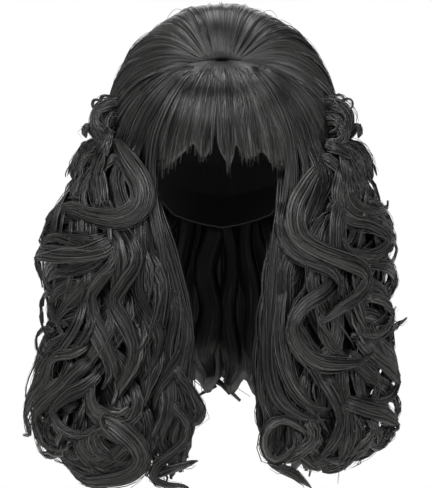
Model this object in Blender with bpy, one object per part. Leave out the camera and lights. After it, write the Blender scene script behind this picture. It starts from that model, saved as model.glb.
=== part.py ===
"""A long curly wig with a high backcombed crown and a straight fringe, in the form it is worn in.

Frame: metres, +Z up, the front looks along -Y, and the origin is the highest spot inside the cap.
Left and right are as seen from the front.

All the smooth hair is combed away from one spot, the parting at the front of the crown. Comb
lines are great circles through that spot, seen from a centre inside the cap. A line's heading
is 0 degrees straight down the fringe, 90 along the parting to the right, 180 over the crown.
The cap, crown and fringe are shells between two radii from that centre. The long hair hangs as
a curtain round the back and sides, worked out on each side as a surface of two numbers: how far
round, from the front opening to the middle of the back, and how far down. It is cut in five
pieces a side.
"""

import math

import bpy
import numpy as np

MM = 0.001

# Inside of the cap, an ellipsoid 560 mm round its widest ring, in millimetres
CAP_HALF_WIDTH = 75.0
CAP_HALF_LENGTH = 96.0
CAP_HALF_HEIGHT = 105.0
CAP_WALL = 2.0
CAP_RINGS = 8
CAP_SIDES = 28
# The cap's rim: turn from the front (180 is the nape) and height angle from the centre, degrees
CAP_RIM = {
    "turn": (0, 35, 62, 76, 94, 112, 140, 180),
    "height": (21, 17, -6, -27, -17, -28, -43, -47),
}

# Room between pieces, and how far a flat facet may dip under the round surface it stands for
SEAT_GAP = 0.3
FACET_ROOM = 0.45

# Hair surface, in millimetres from the centre of the comb lines
CENTRE = np.array([0.0, 0.0, -80.0])
PARTING = np.array([0.0, -48.0, -7.0])
PARTING_RADIUS = 89.0
PARTING_END_RADIUS = 112.0
CROWN_SIDE_RADIUS = 124.0
CROWN_EXTRA_HEIGHT = 10.0
CROWN_EXTRA_BACK = 11.0
FRONT_SIDE_RADIUS = 100.0
FRINGE_EXTRA = 7.0
CROWN_RISE_DEG = 35.0
FRINGE_RISE_DEG = 42.0
CROWN_LOW_EDGE_DEG = -10.0

# Combed folds of the crown
CROWN_FOLDS = 12
CROWN_FOLD_DEPTH = 4.0
CROWN_FOLDS_END = 0.91
CROWN_START_DEG = 6.0
COLUMNS_PER_FOLD = 4
CROWN_ROWS = 11

# Fringe
FRINGE_STRIPS = 10
FRINGE_HALF_SPREAD_DEG = 36.0
FRINGE_START_DEG = 5.0
FRINGE_END_Z = -101.0
FRINGE_END_DROP = 14.0
FRINGE_TIP_NOTCH = 9.0
FRINGE_THICKNESS = 7.0
FRINGE_TIP_THICKNESS = 3.0
FRINGE_LEAVES_CAP = 0.25
FRINGE_HANGS_FREE = 0.55
FRINGE_FOLD_DEPTH = 1.6
FRINGE_ROWS = 8

# Hanging hair: the pieces of each side from the front opening to the middle of the back, the
# share of the way round where each one ends, and how many locks it has
PIECE_COLUMNS = ("name", "round_end", "locks")
PIECES = (
    ("front_lock", 0.2, 2),
    ("curls_front", 0.42, 2),
    ("curls_side", 0.62, 2),
    ("curls_rear", 0.81, 2),
    ("curls_back", 1.0, 2),
)
CURTAIN_ROWS = 14
CURTAIN_HALF_ROUND = 330.0
COLUMNS_PER_LOCK = 4
PIECE_GAP = 0.8
FRONT_LOCK_ROOT_ROWS = 6
FRONT_LOCK_START_DEG = 10.0
FRONT_LOCK_ROOT_END_DEG = 1.0
LOCK_GROOVE_DEPTH = 9.0
GROOVE_GROWS_IN = 0.25
CURL_SWELL = 6.0
CURL_LENGTH = 96.0
SWAY = 9.0
SWAY_STARTS_Z = -130.0
SWAY_FULL_Z = -210.0
SWAY_TURNS_ROUND = 1.5
SWAY_FADES_IN = 0.15
TIP_NOTCH = 26.0
TIP_STARTS = 0.72
TIP_THICKNESS_SHARE = 0.16
TIP_PLACE = 0.6

# Sections of the curtain, in millimetres: half widths to the left and right, half widths of the
# front opening, reach forward and back, wall at the front, side and back, and the turn from the
# front, in degrees, where the front lock ends
CURTAIN_COLUMNS = (
    "z", "left", "right", "open_left", "open_right", "front", "back",
    "front_wall", "side_wall", "back_wall", "front_lock_turn",
)
CURTAIN = (
    (-98, 124, 126, 62, 60, 92, 131, 16, 44, 30, 96),
    (-130, 148, 149, 61, 59, 98, 138, 18, 60, 36, 74),
    (-178, 174, 163, 56, 54, 106, 142, 22, 70, 38, 40),
    (-237, 168, 160, 38, 42, 110, 142, 26, 62, 38, 29),
    (-285, 182, 173, 33, 38, 112, 141, 27, 66, 38, 28),
    (-331, 190, 166, 30, 36, 112, 138, 27, 66, 34, 28),
    (-366, 194, 170, 28, 36, 110, 132, 26, 66, 30, 28),
    (-412, 150, 128, 34, 44, 104, 124, 24, 56, 26, 30),
)
# How low the locks reach, by the share of the way round
LENGTH_COLUMNS = ("round", "left_z", "right_z")
LENGTHS = (
    (0.0, -398, -388),
    (0.1, -412, -398),
    (0.2, -396, -404),
    (0.31, -410, -408),
    (0.42, -404, -392),
    (0.52, -388, -374),
    (0.62, -368, -360),
    (0.81, -352, -352),
    (1.0, -344, -344),
)

# Small curls that stand out at the temples, in millimetres. Rows run from the root to the tip.
CURL_COLUMNS = ("x", "y", "z", "half_width", "half_depth")
SMALL_CURL_SIDES = 8
SMALL_CURL_SECTIONS = 12
TEMPLE_CURL_UPPER = (
    (-104.6, -12, -44, 6, 6),
    (-118, -20, -50, 12, 10),
    (-128, -32, -64, 13, 11),
    (-121, -44, -78, 10, 9),
    (-111, -48, -80, 4, 4),
)
TEMPLE_CURL_LOWER = (
    (-115.8, 8, -66, 6, 6),
    (-129, 4, -72, 11, 9),
    (-139, -6, -84, 12, 10),
    (-137, -20, -95, 10, 9),
    (-130, -30, -97, 4, 4),
)

HAIR_COLOUR = (0.042, 0.041, 0.042, 1.0)
HAIR_ROUGHNESS = 0.42
NET_COLOUR = (0.012, 0.012, 0.013, 1.0)
NET_ROUGHNESS = 0.85
SMOOTH_UNDER_DEG = 50.0


def clear_scene():
    """Removes what the scene holds at the start."""
    for obj in list(bpy.data.objects):
        bpy.data.objects.remove(obj)


def material(name, colour, roughness):
    """A Principled material with this colour and roughness."""
    made = bpy.data.materials.new(name)
    made.use_nodes = True
    shader = made.node_tree.nodes["Principled BSDF"]
    shader.inputs["Base Color"].default_value = colour
    shader.inputs["Roughness"].default_value = roughness
    shader.inputs["Metallic"].default_value = 0.0
    return made


def unit(vectors):
    """The vectors at length one."""
    return vectors / np.linalg.norm(vectors, axis=-1, keepdims=True)


# The comb frame: the parting's direction, and the headings 0 and 90 degrees there
POLE = unit(PARTING - CENTRE)
HEADING_RIGHT = np.array([1.0, 0.0, 0.0])
HEADING_FRONT = np.cross(HEADING_RIGHT, POLE)


def comb_direction(heading_deg, along_deg):
    """The direction from the centre after going this far along a comb line."""
    heading = np.radians(np.asarray(heading_deg, float))[..., None]
    along = np.radians(np.asarray(along_deg, float))[..., None]
    away = np.cos(heading) * HEADING_FRONT + np.sin(heading) * HEADING_RIGHT
    return np.cos(along) * POLE + np.sin(along) * away


def along_to_height(heading_deg, height_sine):
    """How far along a comb line, in degrees, its direction falls to this sine of height."""
    up = POLE[2]
    out = HEADING_FRONT[2] * np.cos(np.radians(heading_deg))
    size = np.hypot(up, out)
    return np.degrees(np.arctan2(out, up) + np.arccos(np.clip(height_sine / size, -1, 1)))


def cap_inner_radius(direction):
    """Distance from the centre to the inside of the cap, whose highest spot is the origin."""
    axes = np.array([CAP_HALF_WIDTH, CAP_HALF_LENGTH, CAP_HALF_HEIGHT])
    start = (CENTRE - np.array([0.0, 0.0, -CAP_HALF_HEIGHT])) / axes
    step = direction / axes
    a = (step**2).sum(-1)
    b = (step * start).sum(-1)
    c = (start**2).sum() - 1
    return (-b + np.sqrt(b**2 - a * c)) / a


def cap_radius(direction):
    """Distance from the centre to the outside of the cap."""
    return cap_inner_radius(direction) + CAP_WALL


def seat_radius(direction):
    """Distance from the centre to the inside of the hair that the cap carries."""
    return cap_radius(direction) + SEAT_GAP + FACET_ROOM


def hair_radius(direction):
    """Distance to the smooth hair: lowest at the parting, rising to the crown and the fringe."""
    behind = np.degrees(np.arcsin(np.clip(-direction @ HEADING_FRONT, -1, 1)))
    up = np.clip(direction[..., 2], 0, 1)
    back = np.clip(direction[..., 1], 0, 1)
    crown = CROWN_SIDE_RADIUS + CROWN_EXTRA_HEIGHT * up**4 + CROWN_EXTRA_BACK * back**2
    front = FRONT_SIDE_RADIUS + FRINGE_EXTRA * direction[..., 1] ** 2
    full = np.where(behind > 0, crown, front)
    rise = np.where(behind > 0, behind / CROWN_RISE_DEG, -behind / FRINGE_RISE_DEG)
    swell = np.sin(np.pi / 2 * np.clip(rise, 0, 1))
    fade = np.clip(1 - direction @ POLE, 0, 1)
    valley = PARTING_RADIUS + (PARTING_END_RADIUS - PARTING_RADIUS) * fade
    return valley + (full - valley) * swell


def at_radius(direction, radius):
    """The points at this radius from the centre, in millimetres."""
    return CENTRE + direction * radius[..., None]


def fringe_end_deg(heading_deg):
    """Where along each comb line the fringe ends: lower towards its sides."""
    share = np.abs(heading_deg) / FRINGE_HALF_SPREAD_DEG
    end_z = FRINGE_END_Z - FRINGE_END_DROP * share**2
    reach = FRONT_SIDE_RADIUS + FRINGE_EXTRA
    return along_to_height(heading_deg, (end_z - CENTRE[2]) / reach)


def crown_end_deg(heading_deg):
    """Where along each comb line the crown ends, at its low edge."""
    return along_to_height(heading_deg, math.sin(math.radians(CROWN_LOW_EDGE_DEG)))


def add_mesh(name, points_mm, faces, look):
    """A new object with this mesh, given in millimetres."""
    mesh = bpy.data.meshes.new(name)
    mesh.from_pydata((np.asarray(points_mm) * MM).tolist(), [], faces)
    mesh.update()
    mesh.materials.append(look)
    mesh.shade_smooth()
    mesh.set_sharp_from_angle(angle=math.radians(SMOOTH_UNDER_DEG))
    obj = bpy.data.objects.new(name, mesh)
    bpy.context.scene.collection.objects.link(obj)
    return obj


def grid_faces(rows, columns, start, closed=False, flip=False):
    """Quads of a grid of points, row by row. A closed grid joins its last column to its first."""
    faces = []
    for r in range(rows - 1):
        for c in range(columns if closed else columns - 1):
            after = (c + 1) % columns
            quad = (
                start + r * columns + c,
                start + r * columns + after,
                start + (r + 1) * columns + after,
                start + (r + 1) * columns + c,
            )
            faces.append(quad if flip else quad[::-1])
    return faces


def thick_patch(name, outer, inner, look):
    """A closed solid between two grids of points, walled round the four edges.

    Each wall face is split from the outer point of the lower row or column, so that two
    neighbours split the walls of the gap between them alike.
    """
    rows, columns = outer.shape[:2]
    count = rows * columns
    faces = grid_faces(rows, columns, 0) + grid_faces(rows, columns, count, flip=True)
    top = list(range(columns))
    right = [r * columns + columns - 1 for r in range(rows)]
    bottom = [(rows - 1) * columns + c for c in reversed(range(columns))]
    left = [r * columns for r in reversed(range(rows))]
    for edge in (top, right, bottom, left):
        for a, b in zip(edge, edge[1:]):
            if a < b:
                faces += [(a, b, b + count), (a, b + count, a + count)]
            else:
                faces += [(a, b, a + count), (b, b + count, a + count)]
    points = np.concatenate([outer.reshape(-1, 3), inner.reshape(-1, 3)])
    return add_mesh(name, points, faces, look)


def loft_tube(name, rings, look):
    """A closed solid through rings of points, with a flat cap at each end."""
    sections, sides = rings.shape[:2]
    faces = grid_faces(sections, sides, 0, closed=True)
    faces.append(tuple(range(sides)))
    faces.append(tuple((sections - 1) * sides + i for i in reversed(range(sides))))
    return add_mesh(name, rings.reshape(-1, 3), faces, look)


def between_rows(table, count):
    """Each column of a table read at evenly spaced places by a smooth curve through its rows."""
    rows = np.array(table, float)
    rows = np.concatenate([[2 * rows[0] - rows[1]], rows, [2 * rows[-1] - rows[-2]]])
    place = np.linspace(0, len(table) - 1, count)
    first = np.minimum(place.astype(int), len(table) - 2)
    t = (place - first)[:, None]
    a, b, c, d = (rows[first + i] for i in range(4))
    return b + 0.5 * t * (c - a + t * (2 * a - 5 * b + 4 * c - d + t * (3 * (b - c) + d - a)))


def make_cap(look):
    """Stretch net cap: a wall round its hollow, down to the hairline, temples and nape."""
    turn = np.arange(CAP_SIDES) * 360 / CAP_SIDES
    rim = np.interp(np.minimum(turn, 360 - turn), CAP_RIM["turn"], CAP_RIM["height"])
    share = np.arange(1, CAP_RINGS + 1)[:, None] / CAP_RINGS
    height = np.radians(90 - share * (90 - rim[None, :]))
    turn = np.radians(turn)[None, :]
    level = np.cos(height)
    direction = np.stack(
        [-level * np.sin(turn), -level * np.cos(turn), np.sin(height) + 0 * turn], -1
    )
    top = np.array([[0.0, 0.0, 1.0]])
    outer = at_radius(direction, cap_radius(direction)).reshape(-1, 3)
    inner = at_radius(direction, cap_inner_radius(direction)).reshape(-1, 3)
    poles = [at_radius(top, cap_radius(top)), at_radius(top, cap_inner_radius(top))]
    points = np.concatenate([outer, inner, *poles])
    count = CAP_RINGS * CAP_SIDES
    faces = grid_faces(CAP_RINGS, CAP_SIDES, 0, closed=True, flip=True)
    faces += grid_faces(CAP_RINGS, CAP_SIDES, count, closed=True)
    for i in range(CAP_SIDES):
        after = (i + 1) % CAP_SIDES
        last = count - CAP_SIDES + i
        last_after = count - CAP_SIDES + after
        faces.append((2 * count, after, i))
        faces.append((2 * count + 1, count + i, count + after))
        faces.append((last_after, last_after + count, last + count, last))
    return add_mesh("cap", points, faces, look)


def make_crown(look):
    """Backcombed crown: a thick shell over the cap, with folds that fan out from the parting."""
    side = 90 + math.degrees(SEAT_GAP / PARTING_RADIUS)
    heading = np.linspace(side, 360 - side, CROWN_FOLDS * COLUMNS_PER_FOLD + 1)[None, :]
    share = np.linspace(0, 1, CROWN_ROWS)[:, None]
    along = CROWN_START_DEG + share * (crown_end_deg(heading) - CROWN_START_DEG)
    direction = comb_direction(heading + 0 * share, along)
    fold = 0.5 - 0.5 * np.cos(np.linspace(0, 2 * np.pi * CROWN_FOLDS, heading.size))[None, :]
    deepest = np.sin(np.pi * np.clip(share / CROWN_FOLDS_END, 0, 1))
    relief = CROWN_FOLD_DEPTH * (1 - fold) * deepest
    outer = at_radius(direction, hair_radius(direction) - relief)
    inner = at_radius(direction, seat_radius(direction))
    return thick_patch("crown", outer, inner, look)


def make_fringe(look):
    """Fringe: strips of straight hair from the parting to the brow, each with a pointed end."""
    columns = FRINGE_STRIPS * COLUMNS_PER_FOLD + 1
    heading = np.linspace(-FRINGE_HALF_SPREAD_DEG, FRINGE_HALF_SPREAD_DEG, columns)[None, :]
    share = np.linspace(0, 1, FRINGE_ROWS)[:, None]
    bulge = 0.5 - 0.5 * np.cos(np.linspace(0, 2 * np.pi * FRINGE_STRIPS, columns))[None, :]
    reach = FRONT_SIDE_RADIUS + FRINGE_EXTRA
    notch = math.degrees(FRINGE_TIP_NOTCH / reach) * (1 - bulge)
    along = FRINGE_START_DEG + share * (fringe_end_deg(heading) - notch - FRINGE_START_DEG)
    direction = comb_direction(heading + 0 * share, along)
    relief = FRINGE_FOLD_DEPTH * (1 - bulge) * share
    outer_radius = hair_radius(direction) - relief
    thickness = FRINGE_THICKNESS + (FRINGE_TIP_THICKNESS - FRINGE_THICKNESS) * share
    free = (share - FRINGE_LEAVES_CAP) / (FRINGE_HANGS_FREE - FRINGE_LEAVES_CAP)
    seat = seat_radius(direction)
    hanging = np.maximum(outer_radius - thickness, seat) - seat
    inner_radius = seat + hanging * np.clip(free, 0, 1)
    outer = at_radius(direction, outer_radius)
    inner = at_radius(direction, inner_radius)
    return thick_patch("fringe", outer, inner, look)


def sway_share(z):
    """How far the waves of the hanging hair have grown at this height, from 0 to 1."""
    return np.clip((z - SWAY_STARTS_Z) / (SWAY_FULL_Z - SWAY_STARTS_Z), 0, 1)


def curtain_turn(at, wide, opening, share_round, z):
    """Turn from the front at this share of the way round, with the sway of the waves, radians.

    It goes from the edge of the front opening to the middle of the back, and the pieces behind
    the front lock share what that one leaves.
    """
    split = PIECES[0][1]
    edge = np.degrees(np.arcsin(opening / wide))
    front = edge + (at["front_lock_turn"] - edge) * share_round / split
    rest = (share_round - split) / (1 - split)
    behind = at["front_lock_turn"] + (180 - at["front_lock_turn"]) * rest
    turn = np.where(rest < 0, front, behind)
    wave = np.sin(2 * np.pi * (z / CURL_LENGTH + SWAY_TURNS_ROUND * share_round))
    fade = np.minimum(np.minimum(share_round, 1 - share_round) / SWAY_FADES_IN, 1)
    return np.radians(turn + np.degrees(SWAY / wide) * sway_share(z) * wave * fade)


def curtain_points(side, share_round, z):
    """Outer and inner points of the hanging hair, at this share of the way round and height.

    Each level section is two ellipses round the upright line through the centre.
    """
    table = np.array(CURTAIN, float)[::-1].T
    at = {name: np.interp(z, table[0], column) for name, column in zip(CURTAIN_COLUMNS, table)}
    width = at["left"] if side < 0 else at["right"]
    opening = at["open_left"] if side < 0 else at["open_right"]
    points = []
    for wall in (0, 1):
        wide = width - wall * at["side_wall"]
        deep_front = at["front"] - wall * at["front_wall"]
        deep_back = at["back"] - wall * at["back_wall"]
        turn = curtain_turn(at, wide, opening, share_round, z)
        deep = np.where(np.cos(turn) > 0, deep_front, deep_back)
        x = side * wide * np.sin(turn)
        points.append(np.stack([x, -deep * np.cos(turn), z + 0 * turn], -1))
    outer, inner = points
    return outer, clear_of_cap(inner)


def clear_of_cap(points):
    """The points moved out from the centre where they would lie in the cap or its hollow."""
    offset = points - CENTRE
    distance = np.linalg.norm(offset, axis=-1)
    direction = offset / distance[..., None]
    return at_radius(direction, np.maximum(distance, seat_radius(direction) + FACET_ROOM))


def lock_bulge(share_round, start, end, locks):
    """One at the middle of each lock of a piece, and nought in the grooves between them."""
    return 0.5 - 0.5 * np.cos(2 * np.pi * locks * (share_round - start) / (end - start))


def curtain_piece(side, start, end, locks):
    """Grids of outer and inner points of one piece of the hanging hair.

    The outside has a groove between locks and swells in each curl, and both walls draw together
    towards the tips.
    """
    margin = PIECE_GAP / 2 / CURTAIN_HALF_ROUND
    columns = locks * COLUMNS_PER_LOCK + 1
    share_round = np.linspace(start + margin, end - margin, columns)[None, :]
    bulge = lock_bulge(share_round, start, end, locks)
    lengths = dict(zip(LENGTH_COLUMNS, np.array(LENGTHS, float).T))
    reach = lengths["left_z"] if side < 0 else lengths["right_z"]
    lowest = np.interp(share_round, lengths["round"], reach) + TIP_NOTCH * (1 - bulge)
    down = np.linspace(0, 1, CURTAIN_ROWS)[:, None]
    grids = []
    for wall in (0, 1):
        top = crown_edge_z(side, share_round, wall)
        z = top + down * (lowest - top)
        grids.append(curtain_points(side, share_round + 0 * z, z)[wall])
    outer, inner = grids
    z = outer[..., 2]
    lock_place = locks * (share_round - start) / (end - start)
    beat = np.cos(2 * np.pi * (z / CURL_LENGTH + lock_place / 2))
    groove = LOCK_GROOVE_DEPTH * (1 - bulge) * np.minimum(down / GROOVE_GROWS_IN, 1)
    relief = groove - CURL_SWELL * sway_share(z) * beat * bulge
    outer = outer - unit(outer - inner) * relief[..., None]
    taper = np.clip((down - TIP_STARTS) / (1 - TIP_STARTS), 0, 1) ** 2
    keep = (1 - (1 - TIP_THICKNESS_SHARE) * taper)[..., None]
    middle = inner + TIP_PLACE * (outer - inner)
    return middle + (outer - middle) * keep, middle + (inner - middle) * keep


def crown_edge_z(side, share_round, wall):
    """Height of the cone under the crown's low edge, where the hanging hair starts."""
    slope = math.tan(math.radians(-CROWN_LOW_EDGE_DEG))
    z = np.full(share_round.shape, float(CURTAIN[0][0]))
    for _ in range(3):
        points = curtain_points(side, share_round, z)[wall]
        z = CENTRE[2] - slope * np.linalg.norm(points[..., :2], axis=-1) - SEAT_GAP - FACET_ROOM
    return z


def with_root(side, outer, inner, locks):
    """The front lock's grids with the rows from the parting put before those of the curtain."""
    columns = outer.shape[1]
    room = math.degrees(PIECE_GAP / PARTING_RADIUS)
    first, last = FRINGE_HALF_SPREAD_DEG + room, 90 - room
    heading = side * np.linspace(first, last, columns)[None, :]
    share = np.linspace(0, 1, FRONT_LOCK_ROOT_ROWS)[:, None]
    end_along = along_to_height(heading, math.sin(math.radians(FRONT_LOCK_ROOT_END_DEG)))
    along = FRONT_LOCK_START_DEG + share * (end_along - FRONT_LOCK_START_DEG)
    direction = comb_direction(heading + 0 * share, along)
    bulge = lock_bulge(np.linspace(0, 1, columns), 0, 1, locks)[None, :]
    radius = hair_radius(direction) - FRINGE_FOLD_DEPTH * (1 - bulge) * share
    root_outer = at_radius(direction, radius)
    root_inner = at_radius(direction, seat_radius(direction) + FACET_ROOM)
    return np.concatenate([root_outer, outer]), np.concatenate([root_inner, inner])


def facing(side, outer, inner):
    """The grids with their columns in the order that turns the faces out on this side."""
    if side < 0:
        return outer[:, ::-1], inner[:, ::-1]
    return outer, inner


def curl_rings(table, side):
    """Rings of a small curl round a smooth path, wider than it is deep."""
    rows = dict(zip(CURL_COLUMNS, between_rows(table, SMALL_CURL_SECTIONS).T))
    centre = np.stack([-side * rows["x"], rows["y"], rows["z"]], -1)
    tangent = unit(np.gradient(centre, axis=0))
    out = centre - CENTRE
    out = unit(out - (out * tangent).sum(-1, keepdims=True) * tangent)
    across = np.cross(tangent, out)
    turn = np.arange(SMALL_CURL_SIDES) * 2 * np.pi / SMALL_CURL_SIDES
    width = (rows["half_width"][:, None] * np.cos(turn))[..., None]
    depth = (rows["half_depth"][:, None] * np.sin(turn))[..., None]
    return centre[:, None] + width * across[:, None] + depth * out[:, None]


def make_side(side, word, look):
    """All the hair of one side: the front lock, four pieces of curls and two temple curls."""
    start = 0.0
    for row in PIECES:
        piece = dict(zip(PIECE_COLUMNS, row))
        outer, inner = curtain_piece(side, start, piece["round_end"], piece["locks"])
        if start == 0.0:
            outer, inner = with_root(side, outer, inner, piece["locks"])
        thick_patch(piece["name"] + "_" + word, *facing(side, outer, inner), look)
        start = piece["round_end"]
    for name, table in (("upper", TEMPLE_CURL_UPPER), ("lower", TEMPLE_CURL_LOWER)):
        loft_tube("temple_curl_" + name + "_" + word, curl_rings(table, side), look)


def main():
    clear_scene()
    hair = material("hair_fibre", HAIR_COLOUR, HAIR_ROUGHNESS)
    net = material("cap_net", NET_COLOUR, NET_ROUGHNESS)
    make_cap(net)
    make_crown(hair)
    make_fringe(hair)
    make_side(-1, "left", hair)
    make_side(1, "right", hair)


main()
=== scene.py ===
"""Looks of a long curly wig with a high backcombed crown and a straight fringe.

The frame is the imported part's: metres, +Z up, the face side looks along -Y, and the origin is
where the top of the head meets the cap. Sizes below are in millimetres. Left and right are as
seen from the face side.

Hair is made of locks: closed tubes with a lens-shaped section, carried along guide lines, with
fine strands laid over them. A guide starts at the parting, runs down a comb line (a great circle
through the parting, seen from the head's centre) and goes on down the curtain of hanging hair.
"""

import bpy
import numpy as np
from mathutils import Matrix


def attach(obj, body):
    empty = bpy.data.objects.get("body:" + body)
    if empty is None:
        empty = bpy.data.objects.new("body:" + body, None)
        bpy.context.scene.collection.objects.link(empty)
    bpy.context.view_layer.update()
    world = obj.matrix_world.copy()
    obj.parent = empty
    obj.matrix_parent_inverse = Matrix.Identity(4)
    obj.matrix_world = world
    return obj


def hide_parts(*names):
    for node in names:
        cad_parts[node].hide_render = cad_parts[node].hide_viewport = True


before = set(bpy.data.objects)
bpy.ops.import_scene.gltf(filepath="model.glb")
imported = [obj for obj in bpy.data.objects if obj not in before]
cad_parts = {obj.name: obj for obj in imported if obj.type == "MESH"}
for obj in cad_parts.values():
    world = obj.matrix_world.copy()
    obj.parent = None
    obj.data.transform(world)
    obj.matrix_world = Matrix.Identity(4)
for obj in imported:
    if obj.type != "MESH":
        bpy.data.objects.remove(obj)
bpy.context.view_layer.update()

MM = 0.001
SEED = 1963
rng = np.random.default_rng(SEED)

# The head and the smooth hair over it, as in the part
HEAD_HALF = np.array([75.0, 96.0, 105.0])
CAP_WALL = 2.0
CENTRE = np.array([0.0, 0.0, -80.0])
PARTING = np.array([0.0, -48.0, -7.0])
PARTING_RADIUS = 89.0
EAR_RADIUS = 112.0
CROWN_SIDE_RADIUS = 124.0
CROWN_EXTRA_HEIGHT = 10.0
CROWN_EXTRA_BACK = 11.0
FRONT_SIDE_RADIUS = 100.0
FRINGE_EXTRA = 7.0
CROWN_RISE_DEG = 35.0
FRINGE_RISE_DEG = 42.0
CROWN_LOW_EDGE_DEG = -10.0
CROWN_START_DEG = 4.0
FRINGE_HALF_SPREAD_DEG = 36.0

# Level sections of the hanging hair, as in the part
CURTAIN_COLUMNS = (
    "z", "left", "right", "face_left", "face_right", "front", "back",
    "face_wall", "side_wall", "back_wall", "front_lock_turn",
)
CURTAIN = (
    (-98, 124, 126, 62, 60, 92, 131, 16, 44, 30, 96),
    (-130, 148, 149, 61, 59, 98, 138, 18, 60, 36, 74),
    (-178, 174, 163, 56, 54, 106, 142, 22, 70, 38, 40),
    (-237, 168, 160, 38, 42, 110, 142, 26, 62, 38, 29),
    (-285, 182, 173, 33, 38, 112, 141, 27, 66, 38, 28),
    (-331, 190, 166, 30, 36, 112, 138, 27, 66, 34, 28),
    (-366, 194, 170, 28, 36, 110, 132, 26, 66, 30, 28),
    (-412, 150, 128, 34, 44, 104, 124, 24, 56, 26, 30),
)
FRONT_LOCK_SHARE = 0.2
LENGTH_COLUMNS = ("round", "left_z", "right_z")
LENGTHS = (
    (0.0, -398, -388),
    (0.1, -412, -398),
    (0.2, -396, -404),
    (0.31, -410, -408),
    (0.42, -404, -392),
    (0.52, -388, -374),
    (0.62, -368, -360),
    (0.81, -352, -352),
    (1.0, -344, -344),
)

# Camera, at the photograph's framing: the eyes' spacing gives 0.98 mm to a pixel at the face
CAMERA_TARGET = (-6.0, -60.0, -182.0)
CAMERA_DISTANCE = 2200.0
VIEW_HEIGHT = 466.0
SENSOR = 36.0


def unit(vectors):
    """The vectors at length one."""
    return vectors / np.linalg.norm(vectors, axis=-1, keepdims=True)


def dot(a, b):
    """Dot products along the last axis, kept as a column."""
    return (a * b).sum(-1, keepdims=True)


def hex_colour(text):
    """An sRGB hex value as linear RGBA: c / 12.92 below 0.04045, else ((c + 0.055) / 1.055)^2.4."""
    c = np.array([int(text[i : i + 2], 16) for i in (1, 3, 5)]) / 255
    linear = np.where(c < 0.04045, c / 12.92, ((c + 0.055) / 1.055) ** 2.4)
    return (*linear.tolist(), 1.0)


# Comb lines: great circles through the parting

POLE = unit(PARTING - CENTRE)
HEADING_RIGHT = np.array([1.0, 0.0, 0.0])
HEADING_FRONT = np.cross(HEADING_RIGHT, POLE)


def comb_direction(heading_deg, along_deg):
    """Direction cos(along) * pole + sin(along) * (cos(heading) * front + sin(heading) * right)."""
    heading = np.radians(np.asarray(heading_deg, float))[..., None]
    along = np.radians(np.asarray(along_deg, float))[..., None]
    away = np.cos(heading) * HEADING_FRONT + np.sin(heading) * HEADING_RIGHT
    return np.cos(along) * POLE + np.sin(along) * away


SEAM_HALF_WIDTH = 0.2
SEAM_FADES_DEG = 26.0


def from_seam(direction, along_deg, share=1.0):
    """Comb directions moved sideways near the parting, so that they leave it along a seam.

    The move is a share of the sideways part of the heading, and dies away along the line.
    """
    away = direction - dot(direction, POLE) * POLE
    sideways = unit(away)[..., :1]
    fade = np.exp(-(np.asarray(along_deg, float) / SEAM_FADES_DEG) ** 2)[..., None]
    return unit(direction + share * SEAM_HALF_WIDTH * sideways * fade * HEADING_RIGHT)


def along_to_height(heading_deg, height_sine):
    """How far along a comb line its direction falls to this sine of height."""
    out = HEADING_FRONT[2] * np.cos(np.radians(heading_deg))
    size = np.hypot(POLE[2], out)
    turned = np.arctan2(out, POLE[2]) + np.arccos(np.clip(height_sine / size, -1, 1))
    return np.degrees(turned)


def cap_radius(direction):
    """Distance from the centre to the cap: the ellipsoid head's, plus the cap's wall."""
    start = (CENTRE + np.array([0.0, 0.0, HEAD_HALF[2]])) / HEAD_HALF
    step = direction / HEAD_HALF
    a = (step**2).sum(-1)
    b = (step * start).sum(-1)
    return (-b + np.sqrt(b**2 - a * ((start**2).sum() - 1))) / a + CAP_WALL


def hair_radius(direction):
    """Distance to the smooth hair: a valley along the parting, swelling to crown and fringe.

    The swell is a quarter sine of the angle behind or before the parting's plane.
    """
    behind = np.degrees(np.arcsin(np.clip(-direction @ HEADING_FRONT, -1, 1)))
    up = np.clip(direction[..., 2], 0, 1)
    back = np.clip(direction[..., 1], 0, 1)
    crown = CROWN_SIDE_RADIUS + CROWN_EXTRA_HEIGHT * up**4 + CROWN_EXTRA_BACK * back**2
    front = FRONT_SIDE_RADIUS + FRINGE_EXTRA * direction[..., 1] ** 2
    full = np.where(behind > 0, crown, front)
    rise = np.where(behind > 0, behind / CROWN_RISE_DEG, -behind / FRINGE_RISE_DEG)
    valley = PARTING_RADIUS + (EAR_RADIUS - PARTING_RADIUS) * np.clip(1 - direction @ POLE, 0, 1)
    return valley + (full - valley) * np.sin(np.pi / 2 * np.clip(rise, 0, 1))


def crown_end_deg(heading_deg):
    """Where along each comb line the crown gives way to the hanging hair."""
    return along_to_height(heading_deg, np.sin(np.radians(CROWN_LOW_EDGE_DEG)))


def curtain_point(side, share_round, z, depth):
    """A point of the hanging hair: an ellipse round the head's axis at height z.

    The turn runs from the face's edge to the middle of the back; depth 0 is outside, 1 inside.
    """
    table = np.array(CURTAIN, float)[::-1]
    at = {name: np.interp(z, table[:, 0], column) for name, column in zip(CURTAIN_COLUMNS, table.T)}
    width = at["left"] if side < 0 else at["right"]
    face = at["face_left"] if side < 0 else at["face_right"]
    wide = width - depth * at["side_wall"]
    front = at["front"] - depth * at["face_wall"]
    back = at["back"] - depth * at["back_wall"]
    edge = np.degrees(np.arcsin(np.clip(face / wide, 0, 1)))
    first = edge + (at["front_lock_turn"] - edge) * share_round / FRONT_LOCK_SHARE
    rest = (share_round - FRONT_LOCK_SHARE) / (1 - FRONT_LOCK_SHARE)
    later = at["front_lock_turn"] + (180 - at["front_lock_turn"]) * rest
    turn = np.radians(np.where(rest < 0, first, later))
    deep = np.where(np.cos(turn) > 0, front, back)
    return np.stack([side * wide * np.sin(turn), -deep * np.cos(turn), z + 0 * turn], -1)


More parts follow.
